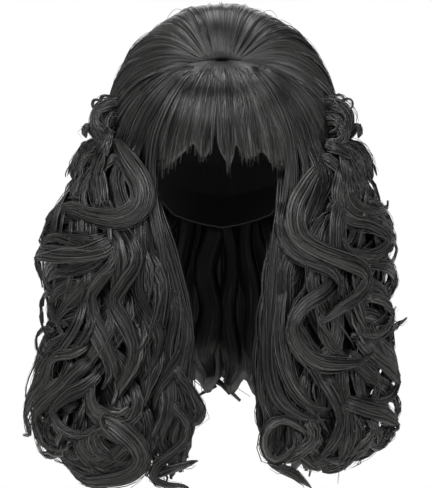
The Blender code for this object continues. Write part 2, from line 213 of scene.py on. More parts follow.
def lowest_z(side, share_round):
    """How low the hair reaches, by the share of the way round."""
    table = np.array(LENGTHS, float)
    return np.interp(share_round, table[:, 0], table[:, 1 if side < 0 else 2])


def heading_of(side, share_round):
    """The comb line whose lower end meets this share of the way round."""
    headings = np.linspace(20, 180, 200)
    ends = comb_direction(headings, crown_end_deg(headings))
    turns = np.degrees(np.arctan2(ends[:, 0], -ends[:, 1]))
    top = curtain_point(side, share_round, np.full(np.shape(share_round), -101.0), 0.0)
    turn = np.degrees(np.arctan2(np.abs(top[..., 0]), -top[..., 1]))
    return side * np.interp(turn, turns, headings)


def spline(points, count):
    """Paths (n, m, 3) read at count places by a smooth curve through their m points."""
    n, m = points.shape[:2]
    ends = (2 * points[:, :1] - points[:, 1:2], points, 2 * points[:, -1:] - points[:, -2:-1])
    rows = np.concatenate(ends, axis=1)
    place = np.linspace(0, m - 1, count)
    first = np.minimum(place.astype(int), m - 2)
    t = (place - first)[None, :, None]
    a, b, c, d = (rows[:, first + i] for i in range(4))
    return b + 0.5 * t * (c - a + t * (2 * a - 5 * b + 4 * c - d + t * (3 * (b - c) + d - a)))


def even(paths):
    """The same paths with their points evenly spaced along them."""
    step = np.linalg.norm(np.diff(paths, axis=1), axis=-1)
    length = np.concatenate([np.zeros((len(paths), 1)), np.cumsum(step, 1)], 1)
    made = np.empty_like(paths)
    for i, path in enumerate(paths):
        places = np.linspace(0, length[i, -1], paths.shape[1])
        for axis in range(3):
            made[i, :, axis] = np.interp(places, length[i], path[:, axis])
    return made


COMB_SHARES = np.array([0.0, 0.12, 0.26, 0.42, 0.58, 0.74, 0.88])
HANG_SHARES = np.array([0.0, 0.1, 0.22, 0.36, 0.5, 0.64, 0.78, 0.9, 1.0])
HANG_TOP_Z = -116.0
ROOT_DIP = 5.0
ROOT_DIP_SHARE = 0.2


def guides(side, share_round, depth, lowest, start, count, lift=0.0):
    """Guide lines (n, count, 3): comb line from the start share, then down the curtain."""
    share_round, depth, lowest, start = np.broadcast_arrays(share_round, depth, lowest, start)
    heading = heading_of(side, share_round)[:, None]
    along = start[:, None] + (1 - start[:, None]) * COMB_SHARES
    reach = CROWN_START_DEG + along * (crown_end_deg(heading) - CROWN_START_DEG)
    direction = from_seam(comb_direction(heading + 0 * reach, reach), reach)
    outer = hair_radius(direction)
    sunk = depth[:, None] * np.where(depth[:, None] < 0.3, along**3, 1.0)
    tucked = ROOT_DIP * np.clip(1 - COMB_SHARES / ROOT_DIP_SHARE, 0, 1)
    radius = outer + lift - tucked - sunk * (outer - cap_radius(direction))
    top = CENTRE + direction * radius[..., None]
    z = HANG_TOP_Z + HANG_SHARES * (lowest[:, None] - HANG_TOP_Z)
    hang = curtain_point(side, share_round[:, None] + 0 * z, z, depth[:, None])
    return even(spline(np.concatenate([top, hang], 1), count))


def outward_of(paths):
    """Outward directions: from the head's centre above it, from its upright axis below."""
    out = paths - CENTRE
    out[..., 2] = np.maximum(out[..., 2], 0)
    return unit(out)


def lock_frames(paths, facing):
    """Thick and wide directions of a lock whose flat side faces this way."""
    tangent = unit(np.gradient(paths, axis=1))
    thick = unit(facing - dot(facing, tangent) * tangent)
    return thick, np.cross(thick, tangent)


OUT_OF_PLANE = 0.35
HOOK_STARTS = 0.82
HOOK_TURNS = 0.5
SWING_Z = -150.0


def waved(side, paths, amplitude, wave_length, phase, roll):
    """Locks that wave: paths plus amplitude * (cos(a) * inward + part * sin(a) * out).

    The angle a is the phase at the height SWING_Z and grows by a whole turn over each wave
    length. In the last stretch it grows by half a turn more, where the tip hooks round. Roll is
    how far the flat side follows the wave: 0 keeps it facing out, 1 makes a ringlet.
    """
    out = outward_of(paths)
    thick, wide = lock_frames(paths, out)
    inward = -side * wide
    step = np.linalg.norm(np.diff(paths, axis=1), axis=-1)
    length = np.concatenate([np.zeros((len(paths), 1)), np.cumsum(step, 1)], 1)
    anchor = np.argmax(paths[..., 2] < SWING_Z, axis=1)
    length = length - length[np.arange(len(paths)), anchor][:, None]
    hook = np.clip((np.linspace(0, 1, paths.shape[1]) - HOOK_STARTS) / (1 - HOOK_STARTS), 0, 1) ** 2
    turns = length / wave_length[:, None] + HOOK_TURNS * hook[None, :]
    angle = (2 * np.pi * turns + phase[:, None])[..., None]
    size = amplitude[..., None]
    made = paths + size * (np.cos(angle) * inward + OUT_OF_PLANE * np.sin(angle) * thick)
    strength = np.clip(amplitude / 16.0, 0, 1)[..., None] * roll[:, None, None]
    facing = (1.15 - 0.15 * strength) * thick
    facing = facing + strength * (0.5 * np.cos(angle) * inward + np.sin(angle) * thick)
    return made, facing


def tubes(paths, thick, wide, half_width, half_thick, sides, tone, across_offset):
    """Closed tubes: rings centre + width * cos(t) * wide + thickness * sin(t) * thick.

    Returns points, faces, a UV in metres (round the lock, along it) and a tone for each point.
    """
    n, k = paths.shape[:2]
    turn = np.arange(sides) * 2 * np.pi / sides
    ring = paths[:, :, None] + (half_width[..., None] * np.cos(turn))[..., None] * wide[:, :, None]
    ring = ring + (half_thick[..., None] * np.sin(turn))[..., None] * thick[:, :, None]
    base = np.arange(n)[:, None, None] * k * sides + np.arange(k - 1)[None, :, None] * sides
    here = np.arange(sides)
    after = (here + 1) % sides
    quads = np.stack(
        [base + here, base + after, base + sides + after, base + sides + here], -1
    ).reshape(-1, 4)
    first = np.arange(n)[:, None] * k * sides + here[::-1]
    last = np.arange(n)[:, None] * k * sides + (k - 1) * sides + here
    caps = np.concatenate([first, last])
    step = np.linalg.norm(np.diff(paths, axis=1), axis=-1)
    along = np.concatenate([np.zeros((n, 1)), np.cumsum(step, 1)], 1)
    girth = 4 * half_width.max(axis=1)
    across = across_offset[:, None] + girth[:, None] * np.arange(sides + 1) / sides
    u0 = np.broadcast_to(across[:, None, :-1], (n, k - 1, sides))
    u1 = np.broadcast_to(across[:, None, 1:], (n, k - 1, sides))
    v0 = np.broadcast_to(along[:, :-1, None], (n, k - 1, sides))
    v1 = np.broadcast_to(along[:, 1:, None], (n, k - 1, sides))
    u = np.stack([u0, u1, u1, u0], -1).reshape(-1)
    v = np.stack([v0, v0, v1, v1], -1).reshape(-1)
    cap_u = np.concatenate([across[:, :-1][:, ::-1], across[:, :-1]]).reshape(-1)
    cap_v = np.repeat(np.concatenate([along[:, 0], along[:, -1]]), sides)
    uv = np.stack([np.concatenate([u, cap_u]), np.concatenate([v, cap_v])], -1) * MM
    tones = np.repeat(tone, k * sides)
    return ring.reshape(-1, 3), (quads, caps), uv, tones


def shell(outer, inner, across, along, tone):
    """A closed shell between two grids of points, (rows, columns, 3), walled round its edges."""
    rows, columns = outer.shape[:2]
    count = rows * columns
    index = np.arange(count).reshape(rows, columns)
    a, b = index[:-1, :-1], index[:-1, 1:]
    c, d = index[1:, 1:], index[1:, :-1]
    face = np.stack([a, d, c, b], -1).reshape(-1, 4)
    back = np.stack([a, b, c, d], -1).reshape(-1, 4) + count
    rim = np.concatenate([index[0], index[1:, -1], index[-1, -2::-1], index[-2:0:-1, 0]])
    nxt = np.roll(rim, -1)
    walls = np.stack([rim, nxt, nxt + count, rim + count], -1)
    quads = np.concatenate([face, back, walls])
    u = np.tile(across.reshape(-1), 2)
    v = np.tile(along.reshape(-1), 2)
    uv = np.stack([u[quads.reshape(-1)], v[quads.reshape(-1)]], -1) * MM
    points = np.concatenate([outer.reshape(-1, 3), inner.reshape(-1, 3)])
    return points, (quads,), uv, np.tile(tone.reshape(-1), 2)


def hair_piece(name, parts, look, node):
    """One mesh of all these parts, with its UV map and tone, in place of the CAD node."""
    points, loops, totals, uvs, tones = [], [], [], [], []
    offset = 0
    for verts, faces, uv, tone in parts:
        for group in faces:
            loops.append((group + offset).reshape(-1))
            totals.append(np.full(len(group), group.shape[1]))
        points.append(verts)
        uvs.append(uv)
        tones.append(tone)
        offset += len(verts)
    points = np.concatenate(points) * MM
    loops = np.concatenate(loops)
    totals = np.concatenate(totals)
    mesh = bpy.data.meshes.new(name)
    mesh.vertices.add(len(points))
    mesh.vertices.foreach_set("co", points.astype(np.float32).reshape(-1))
    mesh.loops.add(len(loops))
    mesh.loops.foreach_set("vertex_index", loops.astype(np.int32))
    mesh.polygons.add(len(totals))
    starts = np.concatenate([[0], np.cumsum(totals)[:-1]])
    mesh.polygons.foreach_set("loop_start", starts.astype(np.int32))
    mesh.polygons.foreach_set("use_smooth", np.ones(len(totals), bool))
    mesh.update(calc_edges=True)
    layer = mesh.uv_layers.new(name="fibre")
    layer.uv.foreach_set("vector", np.concatenate(uvs).astype(np.float32).reshape(-1))
    tone_layer = mesh.attributes.new("tone", "FLOAT", "POINT")
    tone_layer.data.foreach_set("value", np.concatenate(tones).astype(np.float32))
    mesh.materials.append(look)
    obj = bpy.data.objects.new(name, mesh)
    bpy.context.scene.collection.objects.link(obj)
    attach(obj, "root")
    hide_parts(node)
    return obj


def profile(count, root, tip, root_size=0.15):
    """Sizes along a lock: a sine rise from the root, full, then a round taper to the tip."""
    share = np.linspace(0, 1, count)
    rise = root_size + (1 - root_size) * np.sin(np.pi / 2 * np.clip(share / root, 0, 1))
    fall = np.sqrt(np.clip(1 - np.clip((share - tip) / (1 - tip), 0, 1) ** 2, 0, 1))
    return rise * np.maximum(fall, 0.03)


def read_along(values, owner, place):
    """Values (n, count, m) of each row's owner, read between their points at these places."""
    low = np.clip(place.astype(int), 0, values.shape[1] - 2)
    rows = values[owner[:, None], low]
    return rows + (place - low)[..., None] * (values[owner[:, None], low + 1] - rows)


def members(frames, spread, bulk, tone, look):
    """Thin hairs or locks laid round bundles, as tubes.

    A bundle's section is a lens. A member at place u across it, from -1 to 1, lies at
    spread * u * wide + bulk * rise * sqrt(1 - u^2) * thick, and its flat side faces the lens's
    own way there. It keeps its place along the bundle but for a slow sine, and has its own start
    and end. Look gives how many, their points, sides, size, flatness, looseness, range of starts
    and ends, share of strays and spread of tone.
    """
    paths, thick, wide = frames
    n, k = paths.shape[:2]
    total = n * look["number"]
    owner = np.repeat(np.arange(n), look["number"])
    slot = (np.arange(total) % look["number"] + rng.random(total)) / look["number"]
    across = (2 * slot - 1)[:, None]
    first = rng.uniform(0.0, look["late"], (total, 1))
    last = np.minimum(rng.uniform(1 - look["early"], 1.03, (total, 1)), 1.0)
    share = first + (last - first) * np.linspace(0, 1, look["points"])
    place = share * (k - 1)
    centre = read_along(paths, owner, place)
    up = unit(read_along(thick, owner, place))
    sideways = unit(read_along(wide, owner, place))
    width = read_along(spread[..., None], owner, place)[..., 0]
    depth = read_along(bulk[..., None], owner, place)[..., 0]
    drift = rng.uniform(0, 2 * np.pi, (total, 1)) + share * rng.uniform(2, 7, (total, 1))
    stray = (rng.random((total, 1)) < look["strays"]) * rng.uniform(0.3, 1.0, (total, 1))
    u = across + look["loose"] * np.sin(drift) * (0.3 + share)
    over = np.sqrt(np.clip(1 - u * u, 0.02, 1))
    rise = rng.uniform(look["lowest"], 1.0, (total, 1)) + 0.9 * stray
    aside = width * u + 5.0 * stray * np.sin(1.6 * drift)
    above = depth * over * rise + look["above"] + 1.5 * look["loose"] * np.cos(1.3 * drift)
    centre = centre + aside[..., None] * sideways + above[..., None] * up
    facing = over[..., None] * up + (0.7 * u)[..., None] * sideways
    flat, broad = lock_frames(centre, facing)
    shape = 0.25 + 0.75 * np.sin(np.pi * np.linspace(0.05, 0.98, look["points"])) ** 0.6
    size = look["size"] * rng.uniform(0.6, 1.35, (total, 1)) * shape
    tones = np.clip(np.repeat(tone, look["number"]) + rng.normal(0, look["tones"], total), 0, 1)
    offset = rng.uniform(0, 400, total)
    return tubes(centre, flat, broad, size, size * look["flat"], look["sides"], tones, offset)


THIN_LOCKS = {
    "sides": 3, "size": 1.5, "flat": 0.36, "late": 0.06, "early": 0.2,
    "strays": 0.05, "loose": 0.14, "lowest": 0.72, "above": 0.0, "tones": 0.26,
}
FINE_STRANDS = {
    "sides": 3, "size": 0.36, "flat": 0.7, "late": 0.35, "early": 0.25,
    "strays": 0.18, "loose": 0.25, "lowest": 0.9, "above": 0.6, "tones": 0.36,
}
STRAND_STEP = 10.0


def bundles(paths, facing, spread, bulk, tone, thin=9, fine=16, tip=0.55, core_sides=6):
    """Combed bundles of hair round paths: a core drawn dark as painted shade, thin locks over it, and
    fine strands.

    The spread is drawn in at the root and tapers from the tip share on to a point. Locks have a
    point for each STRAND_STEP of the longest path.
    """
    n, k = paths.shape[:2]
    thick, wide = lock_frames(paths, facing)
    share = np.linspace(0, 1, k)[None, :]
    grow = 0.45 + 0.55 * np.sin(np.pi / 2 * np.clip(share / 0.2, 0, 1))
    ending = np.clip((share - tip) / (1 - tip), 0, 1)
    shape = grow * (1 - 0.86 * ending**1.5)
    breathe = 1 + 0.13 * np.sin(2 * np.pi * (share * rng.uniform(1, 2.4, (n, 1)) + rng.random((n, 1))))
    spread = spread[:, None] * shape * breathe
    bulk = bulk[:, None] * shape
    frames = (paths, thick, wide)
    length = np.linalg.norm(np.diff(paths, axis=1), axis=-1).sum(1).max()
    points = int(np.clip(length / STRAND_STEP, 9, 36))
    # Painted shade: the core is drawn at tone 0.05, for the shade deep in a bundle and in the gaps
    # between its locks.
    core = tubes(
        paths, thick, wide, 0.84 * spread, 0.66 * bulk, core_sides, np.full(n, 0.05), 50.0 * np.arange(n)
    )
    made = [core]
    if thin:
        look = {**THIN_LOCKS, "number": thin, "points": points}
        made.append(members(frames, spread, bulk, tone, look))
    if fine:
        look = {**FINE_STRANDS, "number": fine, "points": max(8, int(0.75 * points))}
        made.append(members(frames, spread, bulk, tone, look))
    return made


def layer(side, first, last, number, look):
    """One layer of waving bundles, spread evenly round a share of the curtain.

    Neighbours swing in loose groups; look gives depth, start, amplitude, spread, bulk, lift, and
    how many thin locks and strands each bundle has.
    """
    share = (np.arange(number) + 0.5) / number
    place = first + (last - first) * np.clip(share + rng.normal(0, 0.2 / number, number), 0, 1)
    depth = look["depth"] + look.get("depth_range", 0.1) * rng.uniform(-1, 1, number)
    lowest = lowest_z(side, place) + rng.uniform(look.get("long", -2), look.get("short", 26), number)
    start = np.clip(rng.normal(look["start"], 0.13, number), 0, 0.95)
    count = look.get("count", 48)
    guide = guides(side, place, depth, lowest, start, count, look.get("lift", 0.0))
    near = np.clip((0.2 - place) / 0.15, 0, 1)
    top = -88.0 - 50.0 * near
    below = np.clip((top[:, None] - guide[..., 2]) / (56.0 + 30.0 * near)[:, None], 0, 1)
    growth = below * below * (3 - 2 * below)
    size = look["amplitude"] * rng.uniform(0.6, 1.25, number) * (1 - 0.45 * near)
    amplitude = size[:, None] * growth * (1 - 0.25 * np.linspace(0, 1, count)[None, :] ** 4)
    phase = 2.2 * np.sin(23.0 * place + side) + rng.normal(0, 0.9, number)
    wave = rng.uniform(88, 122, number)
    paths, facing = waved(side, guide, amplitude, wave, phase, rng.uniform(0.2, 0.7, number))
    spread = look["spread"] * rng.uniform(0.7, 1.25, number)
    bulk = look["bulk"] * rng.uniform(0.8, 1.2, number)
    tone = np.clip(rng.normal(look.get("tone", 0.5), 0.13, number), 0, 1)
    return bundles(
        paths, facing, spread, bulk, tone, look["thin"], look["fine"], look.get("tip", 0.6)
    )


# Locks that show from the front, each a path traced in pixels of the photograph, where
# x 222 and y 58 are the origin and a pixel is 0.98 mm. Spread is a bundle's half width and lift
# how far it stands off the hair under it, both in millimetres. Tip is where it starts to taper.
PHOTO_X = 222.0
PHOTO_Z = 58.0
MM_PER_PIXEL = 0.98
MIRRORED_WIDTH = 0.965
TRACED_COLUMNS = ("spread", "lift", "tip", "path")
TRACED = {
    "front_left": (
        (7.0, 1.0, 0.6, ((141, 196), (144, 240), (141, 284), (149, 306), (160, 325), (162, 339),
                         (157, 356), (145, 374))),
        (7.0, 0.0, 0.7, ((157, 196), (163, 225), (173, 256), (182, 290), (187, 318), (186, 345),
                         (174, 365), (162, 382), (157, 402))),
        (5.5, 2.0, 0.7, ((176, 350), (180, 368), (192, 383), (201, 401), (198, 413), (188, 412),
                         (181, 403))),
        (5.0, 3.0, 0.6, ((166, 384), (178, 400), (188, 412), (189, 427), (177, 441), (160, 454),
                         (155, 467), (168, 474), (186, 475), (195, 484))),
        (4.0, 4.0, 0.5, ((155, 466), (165, 461), (178, 457), (190, 453), (199, 450))),
    ),
    "curls_front_left": (
        (10.5, 9.0, 0.55, ((116, 140), (130, 162), (145, 188), (142, 209), (122, 219), (97, 216),
                           (76, 209), (58, 213), (47, 228), (45, 238))),
        (9.0, 5.0, 0.7, ((113, 132), (104, 155), (98, 180), (104, 203), (116, 216))),
        (8.0, 6.0, 0.6, ((122, 222), (137, 243), (139, 262), (125, 284), (118, 300), (129, 322),
                         (137, 343), (132, 364), (125, 380))),
        (8.0, 4.0, 0.6, ((106, 226), (121, 256), (106, 276), (95, 292), (97, 312), (108, 334),
                         (118, 357), (121, 374))),
        (7.0, 2.0, 0.6, ((88, 250), (94, 282), (88, 303), (98, 330), (112, 356), (114, 370),
                         (106, 384))),
        (9.0, 4.0, 0.7, ((108, 356), (96, 378), (98, 402), (124, 420), (141, 436), (146, 452),
                         (134, 466), (110, 473), (86, 474), (74, 461))),
        (7.0, 2.0, 0.6, ((132, 372), (142, 392), (136, 410), (114, 414), (96, 424), (100, 442),
                         (116, 452))),
        (5.0, 5.0, 0.6, ((140, 392), (128, 404), (108, 404), (106, 418), (120, 432), (134, 430))),
        (5.0, 2.0, 0.5, ((69, 448), (80, 469), (102, 477), (123, 470), (134, 458))),
        (9.0, -4.0, 0.9, ((62, 408), (62, 430), (72, 450), (90, 462), (112, 466))),
        (9.0, -5.0, 0.9, ((80, 424), (82, 444), (96, 460), (116, 466), (136, 460))),
        (9.0, -6.0, 0.9, ((98, 426), (96, 446), (110, 458), (130, 456), (144, 444))),
        (8.0, -3.0, 0.9, ((58, 432), (66, 450), (80, 462), (98, 470), (118, 471))),
    ),
    "curls_side_left": (
        (9.0, 7.0, 0.5, ((124, 232), (112, 246), (92, 253), (68, 254), (44, 252), (37, 257),
                         (39, 271), (43, 287))),
        (8.0, 5.0, 0.55, ((118, 236), (98, 242), (79, 240), (60, 236), (47, 241), (44, 250))),
        (8.0, 4.0, 0.5, ((114, 248), (98, 262), (78, 269), (61, 271), (51, 279), (54, 290))),
        (7.0, 3.0, 0.6, ((98, 266), (84, 290), (70, 304), (62, 322), (72, 340))),
        (2.6, 6.0, 0.7, ((62, 302), (51, 292), (43, 297), (41, 307), (44, 321), (49, 334))),
        (3.0, 6.0, 0.6, ((64, 331), (48, 327), (39, 335), (40, 347), (47, 357))),
        (8.0, 4.0, 0.6, ((98, 338), (78, 349), (58, 354), (47, 376), (34, 396), (28, 414),
                         (33, 430), (24, 434))),
        (8.0, 5.0, 0.6, ((100, 352), (80, 368), (67, 382), (48, 398), (39, 412), (42, 430),
                         (52, 443), (63, 445))),
        (7.0, 6.0, 0.6, ((110, 360), (94, 378), (70, 391), (58, 406), (66, 422), (86, 428),
                         (104, 416))),
        (3.0, 5.0, 0.6, ((50, 426), (42, 440), (48, 452), (62, 449), (66, 438))),
        (7.0, -3.0, 0.9, ((44, 404), (40, 420), (46, 436), (60, 446), (76, 448))),
        (7.0, -4.0, 0.9, ((60, 404), (54, 420), (58, 436), (72, 446), (88, 450))),
    ),
    "front_right": (
        (8.0, 1.0, 0.75, ((281, 176), (279, 210), (273, 250), (269, 298), (266, 337), (268, 368),
                          (278, 394), (302, 411), (328, 412))),
        (7.0, 2.0, 0.7, ((284, 270), (277, 300), (275, 330), (279, 355), (288, 380), (306, 399),
                         (330, 404))),
        (4.0, 6.0, 0.75, ((316, 434), (298, 420), (280, 411), (265, 419), (261, 435), (270, 450),
                          (288, 441), (292, 427))),
        (5.0, 4.0, 0.5, ((266, 452), (279, 459), (293, 466), (308, 479))),
        (8.0, 3.0, 0.6, ((303, 408), (309, 428), (296, 442), (276, 453))),
    ),
    "curls_front_right": (
        (9.5, 7.0, 0.65, ((322, 160), (304, 186), (292, 212), (296, 236), (316, 250), (340, 259),
                          (358, 267), (363, 279), (355, 293), (336, 306), (313, 322))),
        (8.0, 4.0, 0.6, ((284, 196), (279, 228), (290, 249), (309, 261), (328, 270), (336, 283),
                         (333, 297))),
        (8.0, 8.0, 0.7, ((338, 272), (320, 289), (300, 303), (289, 322), (296, 343), (313, 357),
                         (334, 360), (355, 358), (368, 348))),
        (8.0, 3.0, 0.7, ((340, 348), (336, 376), (342, 406), (342, 434), (335, 453), (323, 450))),
        (8.0, 4.0, 0.65, ((312, 362), (328, 386), (336, 411), (330, 434), (314, 452))),
        (6.0, 2.0, 0.6, ((322, 300), (318, 322), (326, 342), (344, 352))),
    ),
    "curls_front_both": (
        (9.0, -1.0, 0.7, ((120, 300), (108, 320), (112, 342), (126, 360), (130, 380))),
        (9.0, -2.0, 0.8, ((126, 384), (134, 404), (134, 426), (122, 444), (102, 452), (84, 450))),
        (9.0, -3.0, 0.8, ((104, 398), (98, 420), (106, 440), (122, 454), (138, 448))),
        (8.0, -2.0, 0.8, ((146, 396), (152, 416), (150, 436), (138, 452), (124, 462))),
        (8.0, -3.0, 0.8, ((88, 404), (84, 426), (90, 446), (106, 460), (122, 464))),
    ),
    "curls_side_both": (
        (7.0, 1.0, 0.9, ((118, 146), (104, 150), (91, 160), (83, 173), (80, 188), (84, 202))),
        (7.0, 0.0, 0.9, ((124, 158), (112, 162), (104, 174), (103, 190), (108, 204), (118, 212))),
        (6.0, 2.0, 0.9, ((96, 172), (84, 176), (76, 185), (74, 197), (80, 207))),
        (7.0, -3.0, 0.9, ((112, 148), (98, 158), (90, 172), (88, 188), (94, 204), (104, 214))),
        (8.0, 2.0, 0.75, ((94, 208), (74, 204), (58, 211), (49, 224), (51, 239), (64, 246))),
        (7.0, 4.0, 0.7, ((86, 222), (66, 219), (51, 228), (44, 240), (50, 252))),
        (8.0, 1.0, 0.75, ((88, 262), (69, 257), (54, 263), (48, 276), (55, 289), (70, 292))),
        (8.0, 3.0, 0.75, ((94, 284), (75, 283), (60, 291), (53, 305), (58, 319), (73, 323))),
        (8.0, 1.0, 0.75, ((94, 312), (76, 313), (60, 321), (50, 334), (53, 348), (68, 353))),
        (8.0, 2.0, 0.75, ((94, 332), (75, 336), (58, 346), (46, 360), (48, 375), (62, 381))),
        (8.0, 1.0, 0.75, ((84, 372), (64, 379), (48, 391), (40, 406), (46, 419), (60, 420))),
        (8.0, 0.0, 0.8, ((84, 398), (64, 405), (51, 417), (50, 432), (62, 441), (76, 438))),
        (6.0, 4.0, 0.7, ((100, 150), (90, 158), (82, 171), (77, 184), (73, 196))),
        (6.0, 5.0, 0.7, ((103, 154), (97, 168), (89, 182), (82, 192), (76, 198))),
        (7.0, 6.0, 0.8, ((101, 168), (105, 187), (105, 203), (99, 214))),
        (6.5, 5.0, 0.8, ((97, 168), (88, 187), (87, 203), (92, 214))),
        (0.9, 5.0, 0.9, ((76, 176), (67, 186), (66, 197), (73, 206))),
        (0.9, 7.0, 0.9, ((79, 204), (66, 203), (62, 210), (68, 216))),
    ),
    "curls_side_right": (
        (8.0, 6.0, 0.6, ((340, 150), (343, 176), (344, 196), (353, 210), (371, 214), (386, 208),
                         (388, 200))),
        (8.0, 7.0, 0.65, ((326, 196), (344, 219), (366, 225), (383, 235), (383, 248), (366, 255),
                          (346, 250), (338, 238))),
        (3.0, 6.0, 0.7, ((372, 228), (387, 236), (396, 248), (390, 261), (376, 262))),
        (7.0, 5.0, 0.6, ((352, 262), (370, 262), (387, 265), (394, 279), (389, 294), (375, 301))),
        (6.0, 7.0, 0.65, ((352, 296), (376, 298), (389, 311), (385, 326), (368, 335), (353, 329))),
        (4.0, 5.0, 0.4, ((366, 324), (386, 327), (404, 320), (407, 317))),
        (4.0, 4.0, 0.4, ((370, 334), (382, 330), (396, 306))),
        (8.0, 6.0, 0.6, ((350, 330), (368, 350), (390, 368), (395, 382), (386, 395), (368, 397))),
        (7.0, 5.0, 0.6, ((340, 346), (360, 364), (372, 380), (366, 396))),
        (9.0, 6.0, 0.55, ((330, 392), (356, 401), (382, 411), (397, 424), (389, 428))),
        (7.0, 3.0, 0.6, ((362, 402), (369, 426), (353, 445), (340, 460))),
        (8.0, -3.0, 0.9, ((386, 400), (384, 420), (374, 438), (358, 448), (340, 448))),
        (8.0, -4.0, 0.9, ((370, 410), (366, 430), (354, 444), (336, 450), (318, 444))),
    ),
}


def on_front(x, z, lift):
    """A place of the front view put on the hanging hair: y = -front * sqrt(1 - (x / wide)^2)."""
    table = np.array(CURTAIN, float)[::-1]
    at = {name: np.interp(z, table[:, 0], column) for name, column in zip(CURTAIN_COLUMNS, table.T)}
    wide = np.where(x < 0, at["left"], at["right"]) + lift
    y = -(at["front"] + lift) * np.sqrt(np.clip(1 - (x / wide) ** 2, 0, 1))
    return np.stack([x, y, z], -1)


def photo_path(path, count):
    """A path traced in pixels as count evenly spaced places (x, z) in millimetres."""
    points = np.array(path, float)
    x = (points[:, 0] - PHOTO_X) * MM_PER_PIXEL
    z = (PHOTO_Z - points[:, 1]) * MM_PER_PIXEL
    return even(spline(np.stack([x, z, 0 * x], -1)[None], count))[0, :, :2]


FACES_FRONT = 0.7
TEMPLE_FACES_FRONT = 1.8


def traced_bundle(paths, spread, tip, thin, fine, faces_front=FACES_FRONT, shade=0.38):
    """One bundle on a traced path. Its flat side faces outward and to the front, and where it
    bends, turns out of the bend.
    """
    bend = np.gradient(unit(np.gradient(paths, axis=1)), axis=1)
    turn_out = 0.6 * bend / (0.08 + np.linalg.norm(bend, axis=-1, keepdims=True))
    facing = outward_of(paths) + faces_front * np.array([0.0, -1.0, 0.0]) - turn_out
    share = max(spread, 1.2) / 9
    number = max(2, int(round(thin * share)))
    strands = max(2, int(round(fine * share)))
    tone = np.clip(rng.normal(shade, 0.16, 1), 0, 1)
    size = np.array([spread])
    return bundles(paths, facing, size, 0.3 * size, tone, number, strands, tip)


def traced_locks(group, mirror=False, thin=10, fine=19, shade=0.38):
    """The traced locks of one piece, raised off the hair under them along the way."""
    parts = []
    for spread, lift, tip, path in TRACED[group]:
        flat = photo_path(path, 44)
        if mirror:
            flat = flat * np.array([-MIRRORED_WIDTH, 1.0])
        rise = np.sin(np.pi / 2 * np.clip(np.linspace(0, 1, 44) / 0.22, 0, 1))
        raised = -7.0 + (7.0 + lift) * rise
        paths = on_front(flat[:, 0], flat[:, 1], raised)[None]
        parts += traced_bundle(paths, spread, tip, thin, fine, shade=shade)
    return parts


def under_curtain(side, first, last):
    """Inner hair drawn dark as painted shade: a shell between depths 0.35 and 0.85 of the curtain,
    ending in points.
    """
    columns, rows = 26, 22
    share = np.linspace(first, last, columns)[None, :]
    down = np.linspace(0, 1, rows)[:, None]
    lowest = lowest_z(side, share) + 17 + 8 * np.cos(2 * np.pi * share * 18)
    z = -104.0 + down * (lowest + 104.0)
    ripple = 0.05 * np.sin(z / 14.0 + 30 * share) * down
    thin = np.clip((down - 0.7) / 0.3, 0, 1) ** 2 * 0.2
    outer = curtain_point(side, share + 0 * z, z, 0.38 + ripple + thin)
    inner = curtain_point(side, share + 0 * z, z, 0.82 - thin + 0 * z)
    across = np.broadcast_to(share * 400, z.shape)
    along = np.broadcast_to(-z, z.shape)
    # Painted shade: the inner shell is drawn at tone 0.05, for the shade inside the hanging hair.
    tone = np.full(z.shape, 0.05)
    if side > 0:
        outer, inner = outer[:, ::-1], inner[:, ::-1]
        across = across[:, ::-1]
    return shell(outer[:, ::-1], inner[:, ::-1], across[:, ::-1], along, tone)


OUTER = {
    "depth": 0.17, "start": 0.5, "amplitude": 18.0, "spread": 9.5, "bulk": 2.6, "lift": 0.6,
    "thin": 9, "fine": 11, "tip": 0.7,
}
LOOSE = {
    "depth": 0.1, "start": 0.6, "amplitude": 17.0, "spread": 2.4, "bulk": 1.2, "lift": 0.8,
    "thin": 2, "fine": 3, "tip": 0.6, "count": 40,
}
# Painted shade: the inner layers and the lining are drawn at lower tones, 0.28 and 0.16, darker the
# deeper they lie.
INNER = {
    "depth": 0.42, "start": 0.9, "amplitude": 14.0, "spread": 10.0, "bulk": 2.8, "count": 32,
    "thin": 6, "fine": 0, "tone": 0.28, "long": 4, "short": 36, "tip": 0.8,
}
# Painted shade: the lining lies deepest and is drawn darkest.
LINING = {
    "depth": 0.86, "depth_range": 0.04, "start": 0.93, "amplitude": 4.0, "spread": 14.0,
    "bulk": 2.0, "count": 28, "thin": 8, "fine": 0, "tone": 0.16, "long": 6, "short": 34, "tip": 0.8,
}


def make_curtain(side, word, look):
    """The hanging hair of one side, a piece for each node of the part."""
    pieces = (
        ("curls_front", 0.2, 0.42, 7, 8, 0.5),
        ("curls_side", 0.42, 0.62, 8, 8, 0.42),
        ("curls_rear", 0.62, 0.81, 8, 5, 0.4),
        ("curls_back", 0.81, 1.0, 8, 5, 0.4),
    )
    for name, first, last, number, loose, start in pieces:
        parts = [under_curtain(side, first, last)]
        parts += layer(side, first, last, number, {**OUTER, "start": start})
        parts += layer(side, first, last, loose, LOOSE)
        parts += layer(side, first, last, 6, INNER)
        parts += layer(side, first, last, 4, LINING)
        if name + "_" + word in TRACED:
            parts += traced_locks(name + "_" + word)
        if name + "_both" in TRACED:
            parts += traced_locks(name + "_both", side > 0, 8, 11)
        hair_piece(name + "_hair_" + word, parts, look, name + "_" + word)


